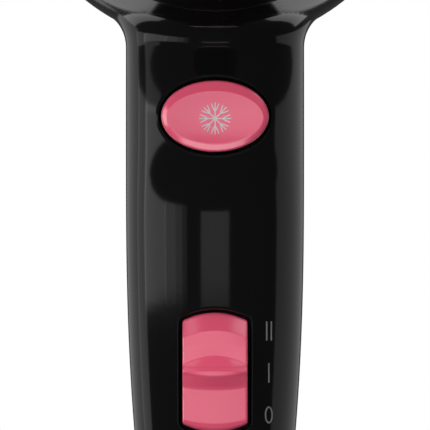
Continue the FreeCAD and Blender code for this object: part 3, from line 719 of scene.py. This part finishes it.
# ---- inlet cap and screen ---------------------------------------------------------------------------------
dome = [(SEAM_REAR + 0.12, REAR_R - 0.1), (152, 41.6), (158, 40.0), (163, 37.8), (INLET_FACE, 34.2)]
dome_line = curve_points(dome, 70)[2:-4]
mouth = [dome_line[-1], (INLET_FACE, 34.3), (INLET_FACE, 31.8), (INLET_FACE - 3, 32.3)]
mouth = rounded(mouth, [0, 1.2, 0.6, 0], 8)
back = [(157, 37.4), (SEAM_REAR - 1, 38.3), (SEAM_REAR - 5, 38.3), (SEAM_REAR - 5, REAR_R - WALL - 0.45)]
back += [(SEAM_REAR + 0.12, REAR_R - WALL - 0.45)]
foot = [(SEAM_REAR + 0.12, REAR_R - WALL - 0.4), (SEAM_REAR + 0.12, REAR_R - 0.1), dome_line[0]]
foot = rounded(foot, [0, 0.35, 0])
dome_piece = lathe("inlet_dome", np.concatenate([dome_line[1:], mouth[1:], back, foot[1:]]))
inlet_rings = [33.0, 27.6, 22.2, 16.8, 11.4]
bars = grille("inlet_bars", inlet_rings, 1.6, INLET_FACE - 3, INLET_FACE - 0.6, 8, 1.6, 6.0)
wear(joined("inlet_cap_moulding", [dome_piece, bars]), BLACK, "inlet_cap", "black_gloss", "rear_cap")


def woven_screen():
    """Fine wires crossing over and under in a turned rim."""
    rim = [(153.4, 35.0), (153.4, 37.5), (155.4, 37.5), (155.4, 35.0)]
    parts = [lathe("screen_rim", rounded(rim, [0.3] * 4))]
    pitch, reach, wire, middle = 1.1, 35.3, 0.17, 154.3
    rows = int(reach / pitch)
    for axis in (0, 1):
        for i in range(-rows, rows + 1):
            offset = (i + 0.5) * pitch
            if abs(offset) > reach - 0.5:
                continue
            half = math.sqrt(reach**2 - offset**2)
            t = np.arange(-half, half + pitch / 4, pitch / 2)
            wave = 0.15 * np.cos(np.pi * t / pitch + np.pi * i) * (1 if axis else -1)
            line = np.stack([t, middle + wave, np.full(len(t), offset)], 1)
            line = line if axis else line[:, [2, 1, 0]]
            parts.append(tube_along(f"screen_wire{axis}_{i + rows}", line, wire, sides=5))
    return joined("inlet_screen_weave", parts)


wear(woven_screen(), MESH, "inlet_cap", "screen_mesh", "filter_screen")


# ---- heater -----------------------------------------------------------------------------------------------
def wound_coil():
    """Resistance wire wound as a small helix and laid in eight turns round the boards."""
    parts = []
    first, length, turns = 15.0, 44.0, 8
    turn_r, winding_r, wire = 19.0, 0.66, 0.2
    loops, steps = 84, 9
    for i in range(turns):
        at = first + length / (turns - 1) * i
        t = np.linspace(0, 1, loops * steps, endpoint=False)
        big, small = 2 * np.pi * t, 2 * np.pi * loops * t
        r = turn_r + winding_r * np.cos(small)
        line = np.stack([r * np.sin(big), at + winding_r * np.sin(small), r * np.cos(big)], 1)
        parts.append(tube_along(f"coil_turn{i}", line, wire, sides=5))
    return joined("heating_coil_winding", parts)


wear(wound_coil(), WIRE, "housing", "resistance_wire", "heating_coil")


# ---- button and rocker ------------------------------------------------------------------------------------
def pressed_cap(name, points, corner, centre, height, edge, back, spacing=0.24, inset=0.06):
    """A moulded cap: its outline, a height map for its face, a rounded rim and straight sides."""
    rings = [0.0, 0.012, 0.045, 0.1, 0.18, 0.29, 0.42, 0.58, 0.76, 1.0, 1.25]
    flat, depth, lean = [], [], []
    for s in rings:
        outline, normal = fine_outline(points, corner - inset - s * edge, 240)
        r = 1 - min(s, 1.0)
        drop = edge * (1 - math.sqrt(max(0.0, 1 - r * r)))
        slope = min(r / math.sqrt(max(1e-9, 1 - r * r)), 1e6)
        flat.append(outline)
        depth.append(np.full(len(outline), drop))
        lean.append(normal * slope)
    ring_size = len(flat[0])
    limit = flat[-1]
    low, high = limit.min(0), limit.max(0)
    across, along = (np.arange(low[k], high[k], spacing) for k in (0, 1))
    grid = np.stack(np.meshgrid(across, along), -1).reshape(-1, 2)
    edge_vector = np.roll(limit, -1, 0) - limit
    offset = grid[:, None] - limit
    side = edge_vector[:, 0] * offset[..., 1] - edge_vector[:, 1] * offset[..., 0]
    length = np.maximum(np.linalg.norm(edge_vector, axis=1), 1e-6)
    grid = grid[((side / length).min(1)) > spacing * 0.4]
    flat = np.concatenate(flat + [grid])
    depth = np.concatenate(depth + [np.zeros(len(grid))])
    lean = np.concatenate(lean + [np.zeros((len(grid), 2))])
    made = delaunay_2d_cdt([Vector(p) for p in flat], [], [], 0, 1e-7)
    source = np.array([group[0] for group in made[3]])
    tris = [[int(source[i]) for i in f] for f in made[2]]
    x, z = flat[:, 0], flat[:, 1]
    step = 0.05
    slope_x = (height(x + step, z) - height(x - step, z)) / (2 * step)
    slope_z = (height(x, z + step) - height(x, z - step)) / (2 * step)
    normal = unit(np.stack([slope_x + lean[:, 0], -np.ones(len(x)), slope_z + lean[:, 1]], 1))
    verts = np.stack([x + centre[0], height(x, z) + depth, z + centre[1]], 1)
    polys, normals = [], []
    for f in tris:
        a, b, c = verts[f]
        if np.cross(b - a, c - a)[1] > 0:
            f = f[::-1]
        polys.append(f)
        normals.append(normal[f])
    wall = verts[:ring_size].copy()
    wall[:, 1] = back
    outward = np.insert(fine_outline(points, corner, 240)[1], 1, 0.0, 1)
    base = len(verts)
    for i in range(ring_size):
        j = (i + 1) % ring_size
        polys.append([i, j, base + j, base + i])
        normals.append(outward[[i, j, j, i]])
    return piece(name, np.concatenate([verts, wall]), polys, np.concatenate(normals))


def button_height(x, z):
    """Shallow dished face inside a sloping rim that is wider above than at its sides."""
    outer = np.sqrt((x / BUTTON_A) ** 2 + (z / BUTTON_B) ** 2)
    inner = np.sqrt((x / 10.2) ** 2 + ((z + 0.35) / 5.6) ** 2)
    over = np.maximum(inner - 1, 0)
    rim = over / (over + np.maximum(1 - outer, 0) + 1e-4)
    return BUTTON_FACE + 0.05 + 0.5 * (1 - np.minimum(inner, 1) ** 2) + 0.85 * rim**1.15


def rocker_height(x, z):
    """Sloped ends, plain lower and upper faces, and a thumb crest between them, thickest in the middle."""
    across = (x / ROCKER_A) ** 2
    knots = [
        (-ROCKER_B - 0.1 + 1.4 * across, 71.6),
        (-11.9 + 1.3 * across, 70.5),
        (-10.9 + 0.9 * across, 70.15),
        (-3.75 + 0.6 * across, 69.75),
        (-3.2 + 0.6 * across, 69.5),
        (-1.05 + 0.8 * across, 67.4 + 0.9 * across),
        (-0.8 + 0.75 * across, 67.2 + 0.75 * across),
        (0.3 + 0 * across, 67.15 + 0.55 * across),
        (0.62 + 0 * across, 67.5 + 0.55 * across),
        (0.86 + 0 * across, 67.45 + 0.55 * across),
        (1.05 + 0 * across, 67.75 + 0.5 * across),
        (3.5 - 2.2 * across, 69.15 - 0.3 * across),
        (6.0 - 0.8 * across, 68.95),
        (8.95 - 1.6 * across, 69.15),
        (9.2 - 1.6 * across, 69.4),
        (ROCKER_B + 0.1 - 1.4 * across, 72.1),
    ]
    y = np.full(np.shape(x), knots[0][1], float)
    for (z0, y0), (z1, y1) in zip(knots, knots[1:]):
        t = np.clip((z - z0) / np.maximum(z1 - z0, 1e-3), 0, 1)
        y = np.where(z > z0, y0 + (y1 - y0) * t, y)
    return y + 0.3 * across


def smoothed(height, reach=0.14):
    """The height map averaged over a small square, so that its folds are rounded."""
    offsets = [-reach, -reach / 2, 0, reach / 2, reach]

    def at(x, z):
        return sum(height(x + i * 0.5, z + j) for i in offsets for j in offsets) / len(offsets) ** 2

    return at


oval = ellipse_points(BUTTON_A, BUTTON_B)
button_cap = pressed_cap("cool_button_cap", oval, 0.0, (0, BUTTON_Z), smoothed(button_height), 0.5, 74.0)
wear(button_cap, PINK, "button", "pink_gloss", "cool_button")
folds = smoothed(rocker_height, 0.16)
rocker_cap = pressed_cap(
    "rocker_cap", rocker_points(CORNER), CORNER, (0, ROCKER_Z), folds, 0.45, 74.2, spacing=0.16
)
wear(rocker_cap, PINK, "rocker_switch", "pink_gloss", "rocker")


# ---- printed marks ----------------------------------------------------------------------------------------
def stroke(points, width):
    """The outline strip of a pen stroke through (x, z) points, as pairs of left and right points."""
    p = np.array(points, float)
    t = unit(np.gradient(p, axis=0))
    side = np.stack([-t[:, 1], t[:, 0]], 1) * width / 2
    return p + side, p - side


def strips(name, strokes, width, depth_at, lift, normal_at):
    """Thin printed strokes laid on a surface."""
    verts, faces, normals = [], [], []
    for points in strokes:
        a, b = stroke(points, width)
        flat = np.concatenate([a, b])
        n = normal_at(flat)
        p = np.stack([flat[:, 0], depth_at(flat), flat[:, 1]], 1) + n * lift
        base, k = sum(map(len, verts)), len(a)
        for i in range(k - 1):
            f = [i, i + 1, k + i + 1, k + i]
            q = p[f]
            if np.cross(q[1] - q[0], q[2] - q[0])[1] > 0:
                f = f[::-1]
            faces.append([base + v for v in f])
            normals.append(n[f])
        verts.append(p)
    return piece(name, np.concatenate(verts), faces, np.concatenate(normals))


def handle_depth(flat):
    p = np.stack([flat[:, 0], np.full(len(flat), 71.0), flat[:, 1]], 1)
    return onto_skin(p, free=(0, 1, 0), rounds=12)[:, 1]


def handle_normal(flat):
    return unit(gradient(np.stack([flat[:, 0], handle_depth(flat), flat[:, 1]], 1)))


def bar(x, low, high):
    return [(x, z) for z in np.linspace(low, high, 9)]


MARK_X = 11.4
ring_t = np.linspace(0, 2 * np.pi, 41)
zero = [(MARK_X + 0.7 * math.cos(t), -123.2 + 1.66 * math.sin(t)) for t in ring_t]
two = [bar(MARK_X + side, -107.4, -103.35) for side in (-0.45, 0.53)]
marks = two + [bar(MARK_X, -116.35, -112.2), zero]
wear(strips("switch_marks", marks, 0.31, handle_depth, 0.025, handle_normal), PRINT, "housing", "black_gloss")


def snowflake():
    """Eight arms, each with a ray forking off on either side."""
    lines = []
    for i in range(8):
        turn = math.pi / 4 * i

        def at(reach, swing=0.0):
            a = turn + math.radians(swing)
            return (reach * math.cos(a) + 0.02, reach * math.sin(a) - 0.5)

        lines.append([at(0.1), at(1.7), at(3.4)])
        for side in (-1, 1):
            lines.append([at(1.5), at(2.3, side * 11), at(3.3, side * 14.5)])
    return lines


soft_button = smoothed(button_height)


def button_depth(flat):
    return soft_button(flat[:, 0], flat[:, 1])


def button_normal(flat):
    h = 0.05
    x, z = flat.T
    slope_x = (soft_button(x + h, z) - soft_button(x - h, z)) / (2 * h)
    slope_z = (soft_button(x, z + h) - soft_button(x, z - h)) / (2 * h)
    return unit(np.stack([slope_x, -np.ones(len(x)), slope_z], 1))


flake = strips("snowflake_mark", snowflake(), 0.23, button_depth, 0.02, button_normal)
flake.data.transform(Matrix.Translation((0, 0, BUTTON_Z * MM)))
wear(flake, SILVER, "button", "pink_gloss")

# ---- CAD pieces seen as they are --------------------------------------------------------------------------
LOOKS = {
    "mica_board_upright": (MICA, 0.0),
    "mica_board_level": (MICA, 0.0),
    "mica_liner": (MICA, 0.0),
    "thermostat": (COPPER, 0.12),
    "thermal_fuse": (STEEL, 0.15),
    "motor_mount": (GREY, 0.3),
    "motor_can": (STEEL, 0.4),
    "motor_magnets": (FERRITE, 0.2),
    "motor_end_bell": (EPOXY, 0.2),
    "motor_bearing_front": (BRONZE, 0.15),
    "motor_bearing_rear": (BRONZE, 0.15),
    "motor_shaft": (STEEL, 0.15),
    "armature": (CORE, 0.15),
    "commutator": (COPPER, 0.1),
    "brushes": (CARBON, 0.1),
    "fan_impeller": (NYLON, 0.25),
    "rectifier_board": (BOARD, 0.1),
    "rectifier_diodes": (EPOXY, 0.25),
    "button_spring": (STEEL, 0.0),
    "microswitch": (EPOXY, 0.25),
    "microswitch_plunger": (NYLON, 0.2),
    "rocker_pin": (DARK_STEEL, 0.15),
    "switch_body": (EPOXY, 0.25),
    "control_board": (BOARD, 0.1),
    "capacitor": (YELLOW, 0.5),
    "chokes": (CORE, 0.4),
    "foot_cap": (BLACK, 0.35),
    "inlet_bush": (RUBBER, 0.3),
    "cord_clamp": (SATIN, 0.3),
    "clamp_screws": (STEEL, 0.12),
    "housing_screws": (STEEL, 0.15),
    "heater_lead_left": (SLEEVE, 0.0),
    "heater_lead_right": (SLEEVE, 0.0),
    "motor_lead": (SLEEVE, 0.0),
}
for node, (material, edge) in LOOKS.items():
    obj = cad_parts[node]
    obj.data.materials.clear()
    obj.data.materials.append(material)
    if edge:
        softened(obj, edge)

# ---- stage, light, camera ---------------------------------------------------------------------------------
scene = bpy.context.scene
low, high = (np.array(c) for c in corners(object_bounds()))
FLOOR_R = 1.5
under = (0, 0.08, low[2] - 0.0006)
bpy.ops.mesh.primitive_circle_add(vertices=128, radius=FLOOR_R, fill_type="NGON", location=under)
floor = bpy.context.object
floor.name = "floor"
PAINT = finish("floor_paint", (0.82, 0.82, 0.82), 0.55, tint=0.01, blotch=6.0, grain=220.0, bump=0.03)
floor.data.materials.append(PAINT)
floor.visible_shadow = False
floor.visible_glossy = False
floor.visible_diffuse = False
floor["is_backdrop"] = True

world = bpy.data.worlds.new("studio")
scene.world = world
world.use_nodes = True
sky = world.node_tree
room = sky.nodes["Background"]
room.inputs["Color"].default_value = (1, 1, 1, 1)
room.inputs["Strength"].default_value = 0.05
seen = sky.nodes.new("ShaderNodeBackground")
seen.inputs["Color"].default_value = (1, 1, 1, 1)
seen.inputs["Strength"].default_value = 1.0
path = sky.nodes.new("ShaderNodeLightPath")
choose = sky.nodes.new("ShaderNodeMixShader")
sky.links.new(path.outputs["Is Camera Ray"], choose.inputs["Fac"])
sky.links.new(room.outputs["Background"], choose.inputs[1])
sky.links.new(seen.outputs["Background"], choose.inputs[2])
sky.links.new(choose.outputs["Shader"], sky.nodes["World Output"].inputs["Surface"])


# The studio lights leave the floor to its own light.
off_floor = bpy.data.collections.new("off_floor")
off_floor.objects.link(floor)
off_floor.collection_objects[0].light_linking.link_state = "EXCLUDE"


def softbox(name, at, size, radiance, target):
    """A rectangular light of the given radiance, turned to the target and unseen by the camera."""
    data = bpy.data.lights.new(name, "AREA")
    data.shape, data.size, data.size_y = "RECTANGLE", size[0], size[1]
    data.energy = radiance * math.pi * size[0] * size[1]
    obj = bpy.data.objects.new(name, data)
    scene.collection.objects.link(obj)
    obj.location = at
    obj.rotation_euler = (Vector(target) - Vector(at)).to_track_quat("-Z", "Y").to_euler()
    obj.visible_camera = False
    obj.light_linking.receiver_collection = off_floor
    return obj


def panel(name, turn, rise, width, height, radiance, target=(0, 0.08, -0.08), away=1.1):
    """A softbox at a bearing from the front, positive to the left, and a rise, in degrees from the target."""
    turn, rise = math.radians(turn), math.radians(rise)
    way = Vector((-math.sin(turn) * math.cos(rise), -math.cos(turn) * math.cos(rise), math.sin(rise)))
    return softbox(name, tuple(Vector(target) + away * way), (width, height), radiance, target)


# Near the handle: a band that dims in steps towards the front.
NEAR = {"target": (0, 0.08, -0.075), "away": 0.2}
panel("light_left", 83, 0, 0.16, 0.068, 0.92, **NEAR)
panel("light_left_half", 53.5, 0, 0.062, 0.068, 0.68, **NEAR)
panel("light_left_fade", 39.5, 0, 0.037, 0.068, 0.46, **NEAR)
panel("light_left_edge", 31, 0, 0.02, 0.068, 0.2, **NEAR)
panel("light_left_upper", 90, 8.5, 0.62, 0.2, 0.38)
panel("light_left_side", 114, -5, 0.42, 0.45, 0.5)
panel("light_left_back", 144, 0, 0.85, 0.9, 0.33)
panel("light_right_back", -125, -4, 1.8, 0.42, 0.3)
panel("light_strip", 0, -1.7, 0.42, 0.11, 0.5)
panel("light_below_left", 145, -38, 0.55, 0.6, 0.8)
panel("light_below_right", -145, -38, 0.55, 0.6, 0.8)
panel("light_top", 0, 82, 1.1, 1.1, 1.6)
panel("light_back_high", 170, 48, 1.0, 0.6, 2.6)
panel("light_right_high", -75, 50, 0.8, 0.5, 2.0)

# A broad front light that shades without showing in the gloss, and glints that only the pink pieces mirror.
panel("light_key", 20, -4, 1.2, 0.9, 3.05).visible_glossy = False


def glint(name, turn, rise, width, height, radiance, pieces):
    """A panel that only the given pieces mirror, and that lights nothing."""
    light = panel(name, turn, rise, width, height, radiance)
    light.visible_diffuse = False
    light.light_linking.receiver_collection = bpy.data.collections.new(name)
    for obj in pieces:
        light.light_linking.receiver_collection.objects.link(obj)


glint("light_glint_front", 0, -3, 0.75, 0.7, 1.5, (outlet_ring, button_cap, rocker_cap))
glint("light_glint_left", 66, 0, 0.95, 1.0, 5.0, (button_cap, rocker_cap))
glint("light_glint_low", 5, -50, 1.0, 0.7, 5.0, (button_cap,))

# Even light that reaches the floor alone, so that it stays pale as far as it is seen.
sun = bpy.data.lights.new("light_floor", "SUN")
sun.energy, sun.angle = 4.1, math.radians(60)
sunlight = bpy.data.objects.new("light_floor", sun)
scene.collection.objects.link(sunlight)
sunlight.location = (0, 0, 2)
floor_only = bpy.data.collections.new("floor_only")
floor_only.objects.link(floor)
sunlight.light_linking.receiver_collection = floor_only

camera = bpy.data.cameras.new("camera")
view = bpy.data.objects.new("camera", camera)
scene.collection.objects.link(view)
DISTANCE = 3.0
SEEN_WIDTH = 0.09105
camera.sensor_width = 36.0
camera.lens = camera.sensor_width * DISTANCE / SEEN_WIDTH
view.location = (0.0, (FRONT * MM) - DISTANCE, -0.0808)
view.rotation_euler = (math.pi / 2, 0, 0)
camera.clip_start, camera.clip_end = 0.05, 20.0
scene.camera = view
scene.view_settings.view_transform = "Standard"
